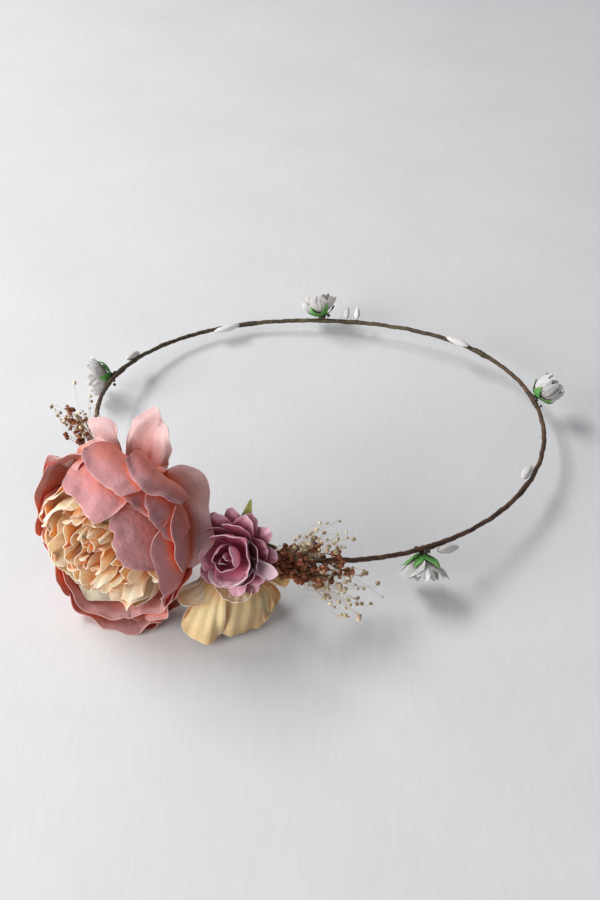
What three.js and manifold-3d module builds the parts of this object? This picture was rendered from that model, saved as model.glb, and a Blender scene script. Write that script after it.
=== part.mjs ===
// A flower crown: a hand-bent wire hoop wrapped in floral tape, with a silk peony, a paper rose,
// a cream blossom, dried sprigs, four small paper flowers and seven paper buds bound to it.
// It lies on a table, propped on the peony. Millimetres, +Z up, the table at z = 0.
import * as THREE from "three";
import Module from "manifold-3d";
import { mergeVertices } from "three/addons/utils/BufferGeometryUtils.js";

const wasm = await Module();
wasm.setup();

const rad = THREE.MathUtils.degToRad;
const V = (x, y, z) => new THREE.Vector3(x, y, z);
const GAP = 0.3; // between pieces that touch on the real crown

// ---- driving dimensions -------------------------------------------------------------------
const HOOP = {
  radius: 90, // mean radius of the hoop's centreline, for a 56 cm head
  threeLobe: 0.044, // how far the hand-bent hoop is from round
  lobeTurn: 12,
  height: 16, // mean height over the table
  tilt: 10.6, // rise on the peony's side
  tiltTowards: 242,
  warp: 5.3, // the hoop isn't flat
  warpTowards: 46,
};
const WIRE_RADIUS = 0.45;
const TAPE_INNER = 0.7;
const TAPE_OUTER = 1.05;
const BINDING_INNER = 1.35;
const BINDING_OUTER = 1.75;
// Where the wire's ends lie side by side.
const LAP = { from: 222, to: 248, shift: 0.65, inner: 1.5, outer: 2 };
const TAPE_JOINTS = [LAP.to, 372, 481, 360 + LAP.from]; // the hoop is wrapped in three lengths of tape

const PEONY = { base: V(-60.5, -75, 33.3), axis: V(-0.5, -0.86, 0.06) };
const ROSE = { base: V(-26.8, -94.8, 32), axis: V(-0.34, -0.84, 0.41) };
const BLOSSOM = { base: V(-26.5, -90, 20), axis: V(-0.15, -0.28, -0.95) };
const SHEET = 0.7; // thickness that stands for one layer of pressed petal cloth or paper
const TABLE_CLEARANCE = 0.5; // petals stop this far above z = 0 before the crown is set down

const COLOURS = {
  wire: [0x8c8f91, 0.35, 0.9],
  tape: [0x3a2819, 0.85, 0],
  pink: [0xdb8f90, 0.8, 0],
  cream: [0xf3d3a6, 0.8, 0],
  mauve: [0xa8637f, 0.85, 0],
  butter: [0xf0d69c, 0.8, 0],
  green: [0x5c7a35, 0.7, 0],
  brightGreen: [0x4c9440, 0.7, 0],
  stem: [0x4c5a30, 0.6, 0],
  brown: [0x7a4a35, 0.9, 0],
  straw: [0xd8c8a4, 0.9, 0],
  white: [0xeeecea, 0.85, 0],
};

// ---- the hoop's line ------------------------------------------------------------------------
function hoopPoint(degrees, outward = 0) {
  const swing = Math.cos(3 * rad(degrees - HOOP.lobeTurn));
  const reach = HOOP.radius * (1 + HOOP.threeLobe * swing) + outward;
  const z =
    HOOP.height +
    HOOP.tilt * Math.cos(rad(degrees - HOOP.tiltTowards)) +
    HOOP.warp * Math.cos(2 * rad(degrees - HOOP.warpTowards));
  return V(reach * Math.cos(rad(degrees)), reach * Math.sin(rad(degrees)), z);
}

class HoopCurve extends THREE.Curve {
  constructor(from, to, outward = () => 0) {
    super();
    Object.assign(this, { from, to, outward });
  }
  getPoint(t) {
    const degrees = THREE.MathUtils.lerp(this.from, this.to, t);
    return hoopPoint(degrees, this.outward(degrees));
  }
}

// ---- shape helpers --------------------------------------------------------------------------
const crown = new THREE.Group();

function add(name, geometry, colour, parent = crown) {
  const [color, roughness, metalness] = COLOURS[colour];
  const material = new THREE.MeshStandardMaterial({ color, roughness, metalness });
  const mesh = new THREE.Mesh(geometry, material);
  mesh.name = name;
  parent.add(mesh);
  return mesh;
}

// A group whose +Z is the flower's axis, with +X level and +Y upwards.
function facing(base, axis) {
  const z = axis.clone().normalize();
  const x = V(0, 0, 1).cross(z).normalize();
  const group = new THREE.Group();
  group.quaternion.setFromRotationMatrix(new THREE.Matrix4().makeBasis(x, z.clone().cross(x), z));
  group.position.copy(base);
  crown.add(group);
  return group;
}

function disc(radius, hole = 0) {
  const shape = new THREE.Shape().absarc(0, 0, radius, 0, 2 * Math.PI);
  if (hole) shape.holes.push(new THREE.Path().absarc(0, 0, hole, 0, 2 * Math.PI, true));
  return shape;
}

function along(curve, shape, steps, halfSides = 3) {
  const options = { steps, extrudePath: curve, bevelEnabled: false, curveSegments: halfSides };
  return new THREE.ExtrudeGeometry(shape, options);
}

function rod(from, to, radius) {
  return along(new THREE.LineCurve3(from, to), disc(radius), 1);
}

// A turned solid about local +Z from [radius, height] pairs that start and end on the axis or close.
function turned(pairs, sides = 10) {
  const profile = pairs.map(([r, z]) => new THREE.Vector2(r, z));
  return new THREE.LatheGeometry(profile, sides).rotateX(Math.PI / 2);
}

// Joins closed geometries into one solid.
function joined(geometries) {
  const solids = geometries.map((geometry) => {
    const bare = geometry.clone();
    bare.deleteAttribute("normal");
    bare.deleteAttribute("uv");
    const merged = mergeVertices(bare, 1e-4);
    const vertProperties = merged.attributes.position.array;
    const triVerts = new Uint32Array(merged.index.array);
    return new wasm.Manifold(new wasm.Mesh({ numProp: 3, vertProperties, triVerts }));
  });
  const mesh = solids.reduce((sum, solid) => sum.add(solid)).getMesh();
  return new THREE.BufferGeometry()
    .setAttribute("position", new THREE.BufferAttribute(new Float32Array(mesh.vertProperties), 3))
    .setIndex(new THREE.BufferAttribute(mesh.triVerts, 1));
}

// One pressed layer of petals: a sheet of revolution that starts at a stem hole and curls from
// one angle off the axis to another, cut at its rim into petals. reach limits it by direction.
function whorl({ petals, length, hole, from, to, reach, ...finer }) {
  const { notch = 0.3, round = 3, turn = 0, rows = 3, thickness = SHEET } = finer;
  const around = petals * 4;
  const start = rad(from);
  const curl = (rad(to) - start) / length || 1e-6;
  const rim = (angle) => {
    const share = ((angle - rad(turn)) * petals) / (2 * Math.PI);
    const across = 2 * Math.abs(share - Math.round(share));
    const lobed = length * (1 - notch * across ** round);
    return reach ? Math.min(lobed, reach(angle) - hole) : lobed;
  };
  const point = (angle, s, side) => {
    const lean = start + curl * s;
    const r = hole + (Math.cos(start) - Math.cos(lean)) / curl - side * Math.cos(lean);
    const z = (Math.sin(lean) - Math.sin(start)) / curl + side * Math.sin(lean);
    return [r * Math.cos(angle), r * Math.sin(angle), z];
  };
  const positions = [];
  for (const side of [-thickness / 2, thickness / 2])
    for (let row = 0; row <= rows; row++)
      for (let i = 0; i < around; i++) {
        const angle = (i / around) * 2 * Math.PI;
        positions.push(...point(angle, (rim(angle) * row) / rows, side));
      }
  const layer = around * (rows + 1);
  const at = (side, row, i) => side * layer + row * around + (i % around);
  const index = [];
  const quad = (a, b, c, d) => index.push(a, b, c, a, c, d);
  for (let i = 0; i < around; i++) {
    for (let row = 0; row < rows; row++) {
      quad(at(0, row, i), at(0, row, i + 1), at(0, row + 1, i + 1), at(0, row + 1, i));
      quad(at(1, row, i + 1), at(1, row, i), at(1, row + 1, i), at(1, row + 1, i + 1));
    }
    quad(at(0, rows, i), at(0, rows, i + 1), at(1, rows, i + 1), at(1, rows, i));
    quad(at(0, 0, i + 1), at(0, 0, i), at(1, 0, i), at(1, 0, i + 1));
  }
  return new THREE.BufferGeometry()
    .setAttribute("position", new THREE.Float32BufferAttribute(positions, 3))
    .setIndex(index);
}

// ---- the hoop: wire, tape and bindings --------------------------------------------------------
// The wire's two ends lie side by side over the lap, one inside the hoop's line and one outside.
const lapMiddle = (LAP.from + LAP.to) / 2;
const lapHalf = 4;
function lapShift(degrees) {
  const started = THREE.MathUtils.smoothstep(LAP.to - 1 - degrees, 0, LAP.to - 1 - lapMiddle - lapHalf);
  const ending = THREE.MathUtils.smoothstep(degrees - 361 - LAP.from, 0, lapMiddle - lapHalf - LAP.from - 1);
  return LAP.shift * (ending - started);
}
const wireLine = new HoopCurve(lapMiddle - lapHalf, 360 + lapMiddle + lapHalf, lapShift);
add("hoop_wire", along(wireLine, disc(WIRE_RADIUS), 110), "wire");

const tapeSection = disc(TAPE_OUTER, TAPE_INNER);
const jointGap = 0.4; // degrees left between two lengths of tape
for (let i = 0; i + 1 < TAPE_JOINTS.length; i++) {
  const length = new HoopCurve(TAPE_JOINTS[i] + jointGap, TAPE_JOINTS[i + 1] - jointGap);
  add(`tape_length_${i + 1}`, along(length, tapeSection, 30), "tape");
}

const lapBinding = new HoopCurve(LAP.from + jointGap, LAP.to - jointGap);
add("main_binding", along(lapBinding, disc(LAP.outer, LAP.inner), 8), "tape");

const BINDINGS = {
  rose_binding: 254,
  sprig_binding_right: 264,
  front_flower_binding: 297,
  side_bud_binding: 334.6,
  side_flower_binding: 372,
  rear_bud_binding: 396.6,
  back_flower_binding: 447,
  back_buds_binding: 438,
  left_bud_binding: 469,
  left_flower_binding: 515,
  sprig_binding_left: 558,
};
const BINDING_HALF = 2.2; // degrees, so a binding is about 7 mm long
for (const [name, degrees] of Object.entries(BINDINGS)) {
  const line = new HoopCurve(degrees - BINDING_HALF, degrees + BINDING_HALF);
  add(name, along(line, disc(BINDING_OUTER, BINDING_INNER), 2), "tape");
}

// ---- the silk peony -----------------------------------------------------------------------------
const peony = facing(PEONY.base, PEONY.axis);
const peonyStem = 1.1;
const peonyHole = peonyStem + 0.5;
const calyxHeight = 1.6;
const calyxTop = -0.8;
const toTable = PEONY.base.z - TABLE_CLEARANCE;
add("peony_stem", rod(V(0, 0, -2.2), V(0, 0, 12), peonyStem), "stem", peony);
add(
  "peony_calyx",
  turned([
    [peonyHole, calyxTop - calyxHeight],
    [2.4, calyxTop - calyxHeight],
    [4, calyxTop - 0.7],
    [5, calyxTop],
    [peonyHole, calyxTop],
    [peonyHole, calyxTop - calyxHeight],
  ]),
  "green",
  peony,
);

// Petals stop at the table below, and at the rose on the right.
function peonyReach(towardsRose) {
  return (angle) => {
    const down = -Math.sin(angle);
    const table = down > 0.05 ? toTable / down : Infinity;
    const degrees = THREE.MathUtils.radToDeg(Math.atan2(Math.sin(angle), Math.cos(angle)));
    const rose = degrees > -75 && degrees < 30 ? towardsRose : Infinity;
    return Math.min(table, rose);
  };
}

const PEONY_LAYERS = [
  { name: "peony_back_petals", petals: 5, length: 37, from: 88, to: 92, turn: 54, rose: 20, notch: 0.3 },
  { name: "peony_outer_petals", petals: 6, length: 36, from: 88, to: 68, turn: 20, rose: 23, notch: 0.2 },
  { name: "peony_middle_petals", petals: 6, length: 37, from: 86, to: 44, turn: 50, rose: 27, notch: 0.18 },
  { name: "peony_inner_petals", petals: 6, length: 38, from: 84, to: 18, turn: 10, rose: 60, notch: 0.15 },
  { name: "peony_cream_outer_petals", petals: 8, length: 33, from: 82, to: 8, turn: 0, rose: 60, notch: 0.1 },
  { name: "peony_cream_middle_petals", petals: 7, length: 29, from: 78, to: -8, turn: 15, rose: 60, notch: 0.1 },
  { name: "peony_cream_inner_petals", petals: 6, length: 24, from: 72, to: -16, turn: 30, rose: 60, notch: 0.1 },
];
const LAYER_STEP = 1.7;
PEONY_LAYERS.forEach(({ name, rose, ...layer }, i) => {
  const sheet = whorl({ ...layer, hole: peonyHole, reach: peonyReach(rose) });
  sheet.translate(0, 0, i * LAYER_STEP);
  add(name, sheet, name.includes("cream") ? "cream" : "pink", peony);
});
const coreBase = 12.6;
add(
  "peony_heart",
  turned([
    [0, coreBase],
    [3.2, coreBase + 1.5],
    [6, coreBase + 8],
    [5, coreBase + 15],
    [0, coreBase + 18],
  ]),
  "cream",
  peony,
);

// ---- the mauve paper rose -----------------------------------------------------------------------
const rose = facing(ROSE.base, ROSE.axis);
const smallStem = 0.5;
const smallHole = smallStem + 0.4;
add("rose_stem", rod(V(0, 0, -2.3), V(0, 0, 3.9), smallStem), "stem", rose);
const leaves = { petals: 4, length: 15, from: 92, to: 84, notch: 0.72, round: 0.8, turn: 84 };
add("rose_leaves", whorl({ ...leaves, hole: smallHole }).translate(0, 0, -1.5), "green", rose);
const ROSE_LAYERS = [
  { name: "rose_outer_petals", petals: 9, length: 14.5, from: 86, to: 76, turn: 0, notch: 0.3 },
  { name: "rose_second_petals", petals: 8, length: 13, from: 84, to: 56, turn: 20, notch: 0.3 },
  { name: "rose_cup_petals", petals: 5, length: 11.5, from: 80, to: 14, turn: 30, notch: 0.15 },
];
ROSE_LAYERS.forEach(({ name, ...layer }, i) => {
  add(name, whorl({ ...layer, hole: smallHole }).translate(0, 0, i * 1.2), "mauve", rose);
});
add(
  "rose_heart",
  turned([
    [0, 4.3],
    [2, 4.9],
    [3.6, 8],
    [3, 11],
    [0, 11.6],
  ]),
  "mauve",
  rose,
);

// ---- the cream blossom, mouth down ----------------------------------------------------------------
const blossom = facing(BLOSSOM.base, BLOSSOM.axis);
// Its petals are shorter towards the table behind it.
function blossomReach(angle) {
  return 25.5 + 5.5 * Math.sin(angle);
}
add("blossom_stem", rod(V(0, 0, -3.2), V(0, 0, 3), smallStem), "stem", blossom);
const blossomCalyx = { petals: 5, length: 5, from: 80, to: 50, notch: 0.6, round: 1 };
add("blossom_calyx", whorl({ ...blossomCalyx, hole: smallHole }).translate(0, 0, -1.3), "green", blossom);
const bell = { petals: 5, length: 32, from: 62, to: 8, turn: 90, notch: 0.14, reach: blossomReach };
add("blossom_petals", whorl({ ...bell, hole: smallHole }), "butter", blossom);
add(
  "blossom_heart",
  turned([
    [0, 3.4],
    [1.4, 4],
    [2, 6],
    [0, 8],
  ]),
  "butter",
  blossom,
);

// ---- four small white paper flowers ---------------------------------------------------------------
const STAND_OFF = 2.6; // from the hoop's line to the flower's base
const FLOWERS = {
  front_flower: { degrees: 296, axis: V(-0.08, -0.6, -0.8) },
  side_flower: { degrees: 11.9, axis: V(0.75, 0.2, 0.63) },
  back_flower: { degrees: 87, axis: V(-0.2, 0.65, 0.73) },
  left_flower: { degrees: 157.5, axis: V(-0.88, -0.05, -0.1) },
};
const paper = { petals: 5, hole: 0.8, rows: 2, thickness: 0.5 };
const sepals = { ...paper, length: 7, from: 84, to: 62, notch: 0.6, round: 0.8, turn: 36 };
const petals = { ...paper, length: 10, from: 74, to: 34, notch: 0.35 };
for (const [name, { degrees, axis }] of Object.entries(FLOWERS)) {
  const base = hoopPoint(degrees).addScaledVector(axis.clone().normalize(), STAND_OFF);
  const flower = facing(base, axis);
  add(`${name}_stem`, rod(V(0, 0, -0.5), V(0, 0, 2.6), 0.4), "stem", flower);
  add(`${name}_sepals`, whorl(sepals), "brightGreen", flower);
  add(`${name}_petals`, whorl(petals).translate(0, 0, 1.1), "white", flower);
}

// ---- seven paper buds ---------------------------------------------------------------------------------
const BUD_RADIUS = 1.9;
function budBetween(name, from, to) {
  const length = from.distanceTo(to);
  const shape = turned(
    [
      [0, 0],
      [0.5 * BUD_RADIUS, 0.06 * length],
      [BUD_RADIUS, 0.42 * length],
      [0.85 * BUD_RADIUS, 0.75 * length],
      [0, length],
    ],
    8,
  );
  const bud = facing(from, to.clone().sub(from));
  add(name, shape, "white", bud);
}
// Each bud runs beside the hoop between two places, given as degrees, way outward and lift.
const BUDS = {
  front_bud: [V(299, 2.7, -1.5), V(305, 4, -2.4)],
  side_bud: [V(337, -2.3, 2.2), V(343, -2.3, 2.2)],
  rear_bud: [V(399.4, -2, 2.5), V(407, -2, 2.5)],
  left_bud: [V(471.8, -2.4, 2.2), V(480, -3.2, 0.8)],
  corner_bud: [V(509, 2.8, 1.6), V(503.5, 2.7, 1.6)],
};
const besideHoop = ({ x, y, z }) => hoopPoint(x, y).add(V(0, 0, z));
for (const [name, ends] of Object.entries(BUDS)) budBetween(name, ...ends.map(besideHoop));
const backBudAim = V(0.08, 0.84, 0.54).normalize();
for (const [name, degrees] of Object.entries({ back_bud_a: 439.6, back_bud_b: 436.4 })) {
  const start = hoopPoint(degrees, 1.8).add(V(0, 0, 1.2));
  budBetween(name, start, start.clone().addScaledVector(backBudAim, 6.4));
}

// ---- dried sprigs ------------------------------------------------------------------------------------
// A main stalk with side twigs, each ending in a seed head.
function sprig(root, tip, twigs, seed) {
  const stalk = new THREE.LineCurve3(root, tip);
  const pieces = [along(stalk, disc(0.55), 1)];
  for (const { at, to } of twigs) {
    const start = stalk.getPoint(at);
    pieces.push(rod(start, to, 0.28));
    pieces.push(new THREE.IcosahedronGeometry(seed, 0).translate(to.x, to.y, to.z));
  }
  return joined(pieces);
}

// Twig ends spread on a spiral around the stalk.
function spread(root, tip, count, from, to, turn) {
  const line = new THREE.LineCurve3(root, tip);
  const axis = tip.clone().sub(root).normalize();
  const side = V(0, 0, 1).cross(axis).normalize();
  const up = axis.clone().cross(side);
  return Array.from({ length: count }, (_, i) => {
    const share = (i + 1) / count;
    const angle = rad(turn + i * 137.5);
    const out = THREE.MathUtils.lerp(from, to, share);
    const end = line
      .getPoint(0.35 + 0.75 * share)
      .addScaledVector(side, out * Math.cos(angle))
      .addScaledVector(up, out * Math.sin(angle));
    return { at: 0.1 + 0.7 * share, to: end };
  });
}

const BROWN_HEADS = { from: 3, to: 4.5, seed: 1.7, colour: "brown" };
const STRAW_HEADS = { from: 3.5, to: 5, seed: 1, colour: "straw" };
const SPRIGS = {
  brown_sprig_right: { root: V(-11, -96.4, 26.4), tip: V(9, -99, 22.5), count: 8, ...BROWN_HEADS },
  gypsophila_right_upper: { root: V(-8.5, -92.5, 30), tip: V(7, -90, 36), count: 7, ...STRAW_HEADS },
  gypsophila_right_lower: { root: V(-5.5, -92, 22.9), tip: V(14, -95, 9.5), count: 7, ...STRAW_HEADS },
  brown_sprig_left: { root: V(-83, -33.2, 28), tip: V(-93, -23, 32), count: 6, ...BROWN_HEADS, from: 2, to: 4 },
  gypsophila_left: { root: V(-80.7, -31.5, 31), tip: V(-88, -17, 39), count: 6, ...STRAW_HEADS, from: 2.5, to: 4 },
};
for (const [name, { root, tip, count, from, to, seed, colour }] of Object.entries(SPRIGS)) {
  add(name, sprig(root, tip, spread(root, tip, count, from, to, 40), seed), colour);
}

// ---- set the crown down on the table, centred -----------------------------------------------------------
crown.updateMatrixWorld(true);
const box = new THREE.Box3().setFromObject(crown, true);
const middle = box.getCenter(V(0, 0, 0));
crown.position.set(-middle.x, -middle.y, -box.min.z);

export default crown;
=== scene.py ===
"""A flower crown lying on a pale table: a hoop wrapped in crepe tape that carries a silk peony, a paper rose,
a cream blossom, dried sprigs, small white paper flowers and paper buds. Lengths below are in millimetres,
in the crown's own frame: the hoop's centre is at x = y = 0 and the table at z = 0."""

import bpy
import numpy as np
from mathutils import Matrix, Vector


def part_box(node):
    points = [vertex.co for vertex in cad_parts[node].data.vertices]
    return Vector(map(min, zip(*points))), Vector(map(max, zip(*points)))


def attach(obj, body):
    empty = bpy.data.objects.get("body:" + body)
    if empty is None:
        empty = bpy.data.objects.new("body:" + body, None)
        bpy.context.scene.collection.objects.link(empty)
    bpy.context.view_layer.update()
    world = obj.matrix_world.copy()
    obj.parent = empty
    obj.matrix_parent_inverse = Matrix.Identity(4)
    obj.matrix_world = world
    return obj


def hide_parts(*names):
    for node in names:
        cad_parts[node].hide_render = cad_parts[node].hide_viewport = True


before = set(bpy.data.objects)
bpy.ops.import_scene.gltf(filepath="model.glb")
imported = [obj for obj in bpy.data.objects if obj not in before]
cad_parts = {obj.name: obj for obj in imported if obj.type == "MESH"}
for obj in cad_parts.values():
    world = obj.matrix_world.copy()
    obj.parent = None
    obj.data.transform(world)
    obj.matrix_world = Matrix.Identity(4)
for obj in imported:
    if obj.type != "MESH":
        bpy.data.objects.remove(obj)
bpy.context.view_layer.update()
MM = 0.001


# ---- the hoop's line, as in the CAD ----------------------------------------------------------------------
def hoop_line(degrees, outward=0.0):
    """Centreline of the hand-bent hoop: nearly round, tilted up at the peony, and a little warped."""
    d = np.radians(np.asarray(degrees, float))
    reach = 90 * (1 + 0.044 * np.cos(3 * (d - np.radians(12)))) + outward
    z = 16 + 10.6 * np.cos(d - np.radians(242)) + 5.3 * np.cos(2 * (d - np.radians(46)))
    return np.stack([reach * np.cos(d), reach * np.sin(d), z], axis=-1)


def box_centre(corners):
    return (np.array(corners[0]) + np.array(corners[1])) / 2


whole_line = hoop_line(np.linspace(0, 360, 721))
SHIFT = box_centre(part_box("hoop_wire")) / MM - box_centre((whole_line.min(0), whole_line.max(0)))


def unit(v):
    v = np.asarray(v, float)
    return v / np.linalg.norm(v, axis=-1, keepdims=True)


def smooth(x):
    x = np.clip(x, 0, 1)
    return x * x * (3 - 2 * x)


# ---- materials -------------------------------------------------------------------------------------------
class Nodes:
    """A small helper that adds shader nodes and links them."""

    def __init__(self, name):
        self.material = bpy.data.materials.new(name)
        self.material.use_nodes = True
        self.tree = self.material.node_tree
        self.shader = self.tree.nodes["Principled BSDF"]

    def new(self, kind, **values):
        node = self.tree.nodes.new("ShaderNode" + kind)
        for key, value in values.items():
            if hasattr(node, key):
                setattr(node, key, value)
            else:
                node.inputs[key.replace("_", " ")].default_value = value
        return node

    def link(self, source, target):
        self.tree.links.new(source, target)

    def math(self, operation, a, b=0.0, clamp=False):
        node = self.new("Math", operation=operation, use_clamp=clamp)
        for socket, value in zip(node.inputs, (a, b)):
            if isinstance(value, (int, float)):
                socket.default_value = value
            else:
                self.link(value, socket)
        return node.outputs[0]

    def mix(self, factor, a, b, blend="MIX"):
        node = self.new("Mix", data_type="RGBA", blend_type=blend)
        for socket, value in ((node.inputs[0], factor), (node.inputs[6], a), (node.inputs[7], b)):
            if isinstance(value, (int, float)):
                socket.default_value = value
            elif isinstance(value, tuple):
                socket.default_value = (*value, 1)
            else:
                self.link(value, socket)
        return node.outputs[2]

    def ramp(self, factor, *stops):
        """stops are (position, value) pairs, value a number or a colour."""
        node = self.new("ValToRGB")
        elements = node.color_ramp.elements
        while len(elements) < len(stops):
            elements.new(0.5)
        for element, (position, value) in zip(elements, stops):
            element.position = position
            element.color = (*value, 1) if isinstance(value, tuple) else (value, value, value, 1)
        self.link(factor, node.inputs[0])
        return node.outputs[0]

    def noise(self, scale, detail=3.0, vector=None, roughness=0.5):
        node = self.new("TexNoise", Scale=scale, Detail=detail, Roughness=roughness)
        self.link(vector if vector else self.new("TexCoord").outputs["Object"], node.inputs["Vector"])
        return node.outputs["Fac"]

    def bump(self, height, distance, strength=1.0, after=None):
        node = self.new("Bump", Strength=strength, Distance=distance)
        self.link(height, node.inputs["Height"])
        if after:
            self.link(after, node.inputs["Normal"])
        return node.outputs[0]

    def petal_values(self):
        """What the mesh stores: way from base to rim, closeness to the edge, a random value, and the side."""
        split = self.new("SeparateColor")
        attribute = self.new("Attribute", attribute_name="petal")
        self.link(attribute.outputs["Color"], split.inputs[0])
        return (*split.outputs[:3], attribute.outputs["Alpha"])

    def finish(self, colour, normal=None, roughness=0.8, **inputs):
        self.link(colour, self.shader.inputs["Base Color"])
        if normal:
            self.link(normal, self.shader.inputs["Normal"])
        self.shader.inputs["Roughness"].default_value = roughness
        for key, value in inputs.items():
            self.shader.inputs[key.replace("_", " ")].default_value = value
        return self.material


def cloth(
    name, base, body, tip, edge, back, fold, weave=0.35, veins=0.0, glow=0.6, sheen=0.25,
    deep=(0.12, 0.5, 0.88), crevice=0.9, crumple=1.2,
):
    """Pressed petal cloth. It's base coloured in its depths, body coloured halfway, tip coloured near the rim,
    pale along its cut edge, tinted back on its outer side, and fold coloured where petals lie close together.
    Base and fold are painted shade, warm with light passed between petals: base towards each petal's foot,
    and both, by ambient occlusion, where petals lie close. weave is the thread spacing in mm, deep says where
    along the petal the three colours stand, crevice is how strongly close petals take this painted shade, and
    crumple is the height of its creases in mm."""
    n = Nodes(name)
    along, edge_near, random, side = n.petal_values()
    patches = n.noise(160, 4.0)
    grain = n.noise(1500, 2.0)
    uneven = n.math("ADD", along, n.math("MULTIPLY", n.math("SUBTRACT", patches, 0.5), 0.22))
    # towards each petal's foot the colour runs to base, a painted shade of the flower's depths
    colour = n.ramp(uneven, (deep[0], base), (deep[1], body), (deep[2], tip))
    tinted = n.mix(n.math("MULTIPLY", side, n.ramp(uneven, (0.2, 0.25), (0.8, 0.85))), colour, back, "MULTIPLY")
    # painted shade: ambient occlusion takes close petals towards base, and the closest towards fold
    closeness = n.new("AmbientOcclusion", samples=8, Distance=0.0038)
    warm_shade = n.mix(n.ramp(closeness.outputs["AO"], (0.5, crevice), (0.9, 0.0)), tinted, base)
    folded = n.mix(n.ramp(closeness.outputs["AO"], (0.12, crevice), (0.5, 0.0)), warm_shade, fold)
    pale = n.mix(n.ramp(random, (0.8, 0.0), (1.0, 0.5)), folded, edge)
    varied = n.mix(0.7, pale, n.ramp(random, (0.0, (0.80, 0.76, 0.76)), (0.5, (1.0, 1.0, 1.0))), "MULTIPLY")
    grained = n.mix(0.35, varied, n.ramp(grain, (0.3, (0.80, 0.76, 0.76)), (0.7, (1.12, 1.1, 1.1))), "MULTIPLY")
    frayed = n.ramp(patches, (0.38, 0.15), (0.6, 1.0))
    worn = n.math("MULTIPLY", n.ramp(edge_near, (0.965, 0.0), (0.998, 0.65)), frayed)
    edged = n.mix(worn, grained, edge)
    uv = n.new("UVMap", uv_map="cloth")
    split = n.new("SeparateXYZ")
    n.link(uv.outputs[0], split.inputs[0])
    turn = 2 * np.pi / weave
    warp = n.math("SINE", n.math("MULTIPLY", split.outputs[0], turn))
    weft = n.math("SINE", n.math("MULTIPLY", split.outputs[1], turn))
    height = n.math("ADD", n.math("MULTIPLY", warp, weft), n.math("MULTIPLY", grain, 1.5))
    normal = n.bump(height, 0.00006, 0.55)
    normal = n.bump(patches, crumple * MM, 0.6, normal)
    if veins:
        spread = n.new("TexWave", wave_type="BANDS", bands_direction="X", Scale=0.32, Distortion=1.2)
        spread.inputs["Detail"].default_value = 1.0
        n.link(uv.outputs[0], spread.inputs["Vector"])
        normal = n.bump(spread.outputs["Fac"], veins * MM, 0.8, normal)
    return n.finish(
        edged, normal, 0.78, Sheen_Weight=sheen, Sheen_Roughness=0.4, Subsurface_Weight=glow,
        Subsurface_Radius=(1.0, 0.8, 0.68), Subsurface_Scale=0.0009, Specular_IOR_Level=0.25,
    )


def tape_material():
    """Crepe tape: fine ridges across the strip, paler on high spots, which is partly wear and partly painted
    highlight, and on laps, and red towards the front of the crown and olive towards its back."""
    n = Nodes("crepe_tape")
    uv = n.new("UVMap", uv_map="cloth")
    crepe = n.new("TexNoise", Scale=1.0, Detail=4.0, Roughness=0.6)
    stretch = n.new("Mapping")
    stretch.inputs["Scale"].default_value = (5.0, 0.9, 1)
    n.link(uv.outputs[0], stretch.inputs[0])
    n.link(stretch.outputs[0], crepe.inputs["Vector"])
    attribute = n.new("Attribute", attribute_name="petal")
    split = n.new("SeparateColor")
    n.link(attribute.outputs["Color"], split.inputs[0])
    patches = n.noise(220, 4.0)
    place = n.new("SeparateXYZ")
    n.link(n.new("TexCoord").outputs["Object"], place.inputs[0])
    wandering = n.math("ADD", n.math("MULTIPLY", place.outputs["Y"], 5.0), n.noise(30, 2.0))
    red, olive = (
        n.ramp(patches, (0.3, dark), (0.52, middle), (0.75, light))
        for dark, middle, light in (
            ((0.024, 0.008, 0.004), (0.078, 0.030, 0.013), (0.16, 0.075, 0.032)),
            ((0.016, 0.014, 0.006), (0.052, 0.042, 0.016), (0.11, 0.085, 0.034)),
        )
    )
    base = n.mix(n.ramp(wandering, (0.45, 0.0), (0.95, 1.0)), red, olive)
    # high spots of the crepe go paler: partly the tape's wear, partly painted highlight
    worn = n.mix(n.ramp(crepe.outputs["Fac"], (0.5, 0.0), (0.8, 0.5)), base, (0.24, 0.12, 0.055))
    lap = n.mix(n.ramp(split.outputs[0], (0.88, 0.0), (0.97, 0.5)), worn, (0.26, 0.14, 0.07))
    normal = n.bump(crepe.outputs["Fac"], 0.00035, 0.8)
    normal = n.bump(patches, 0.0006, 0.5, normal)
    return n.finish(lap, normal, 0.55, Specular_IOR_Level=0.4, Sheen_Weight=0.03, Sheen_Roughness=0.5)


def dried_material(name, dark, light, glow=0.1):
    n = Nodes(name)
    _, _, random, _ = n.petal_values()
    spots = n.noise(900, 4.0, roughness=0.65)
    colour = n.ramp(spots, (0.32, dark), (0.68, light))
    shades = n.ramp(random, (0.0, (0.38, 0.32, 0.3)), (0.6, (0.9, 0.85, 0.8)), (1.0, (1.35, 1.35, 1.4)))
    varied = n.mix(0.85, colour, shades, "MULTIPLY")
    normal = n.bump(spots, 0.0005, 0.9)
    return n.finish(
        varied, normal, 0.85, Specular_IOR_Level=0.2, Subsurface_Weight=glow, Subsurface_Scale=0.001,
    )


# In each cloth below, the first colour (base) and the fold colour are painted shade of the flower's depths and
# of close petals, warm with light passed between them; the other colours are the cloth's own.
PINK = cloth(
    "silk_pink", (0.84, 0.21, 0.115), (0.645, 0.205, 0.15), (0.56, 0.30, 0.295),
    (0.88, 0.62, 0.56), (0.90, 0.80, 0.86),
    fold=(0.74, 0.07, 0.03), deep=(0.42, 0.66, 0.90), crevice=0.95, crumple=2.2, sheen=0.22, glow=0.3,
)
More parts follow.
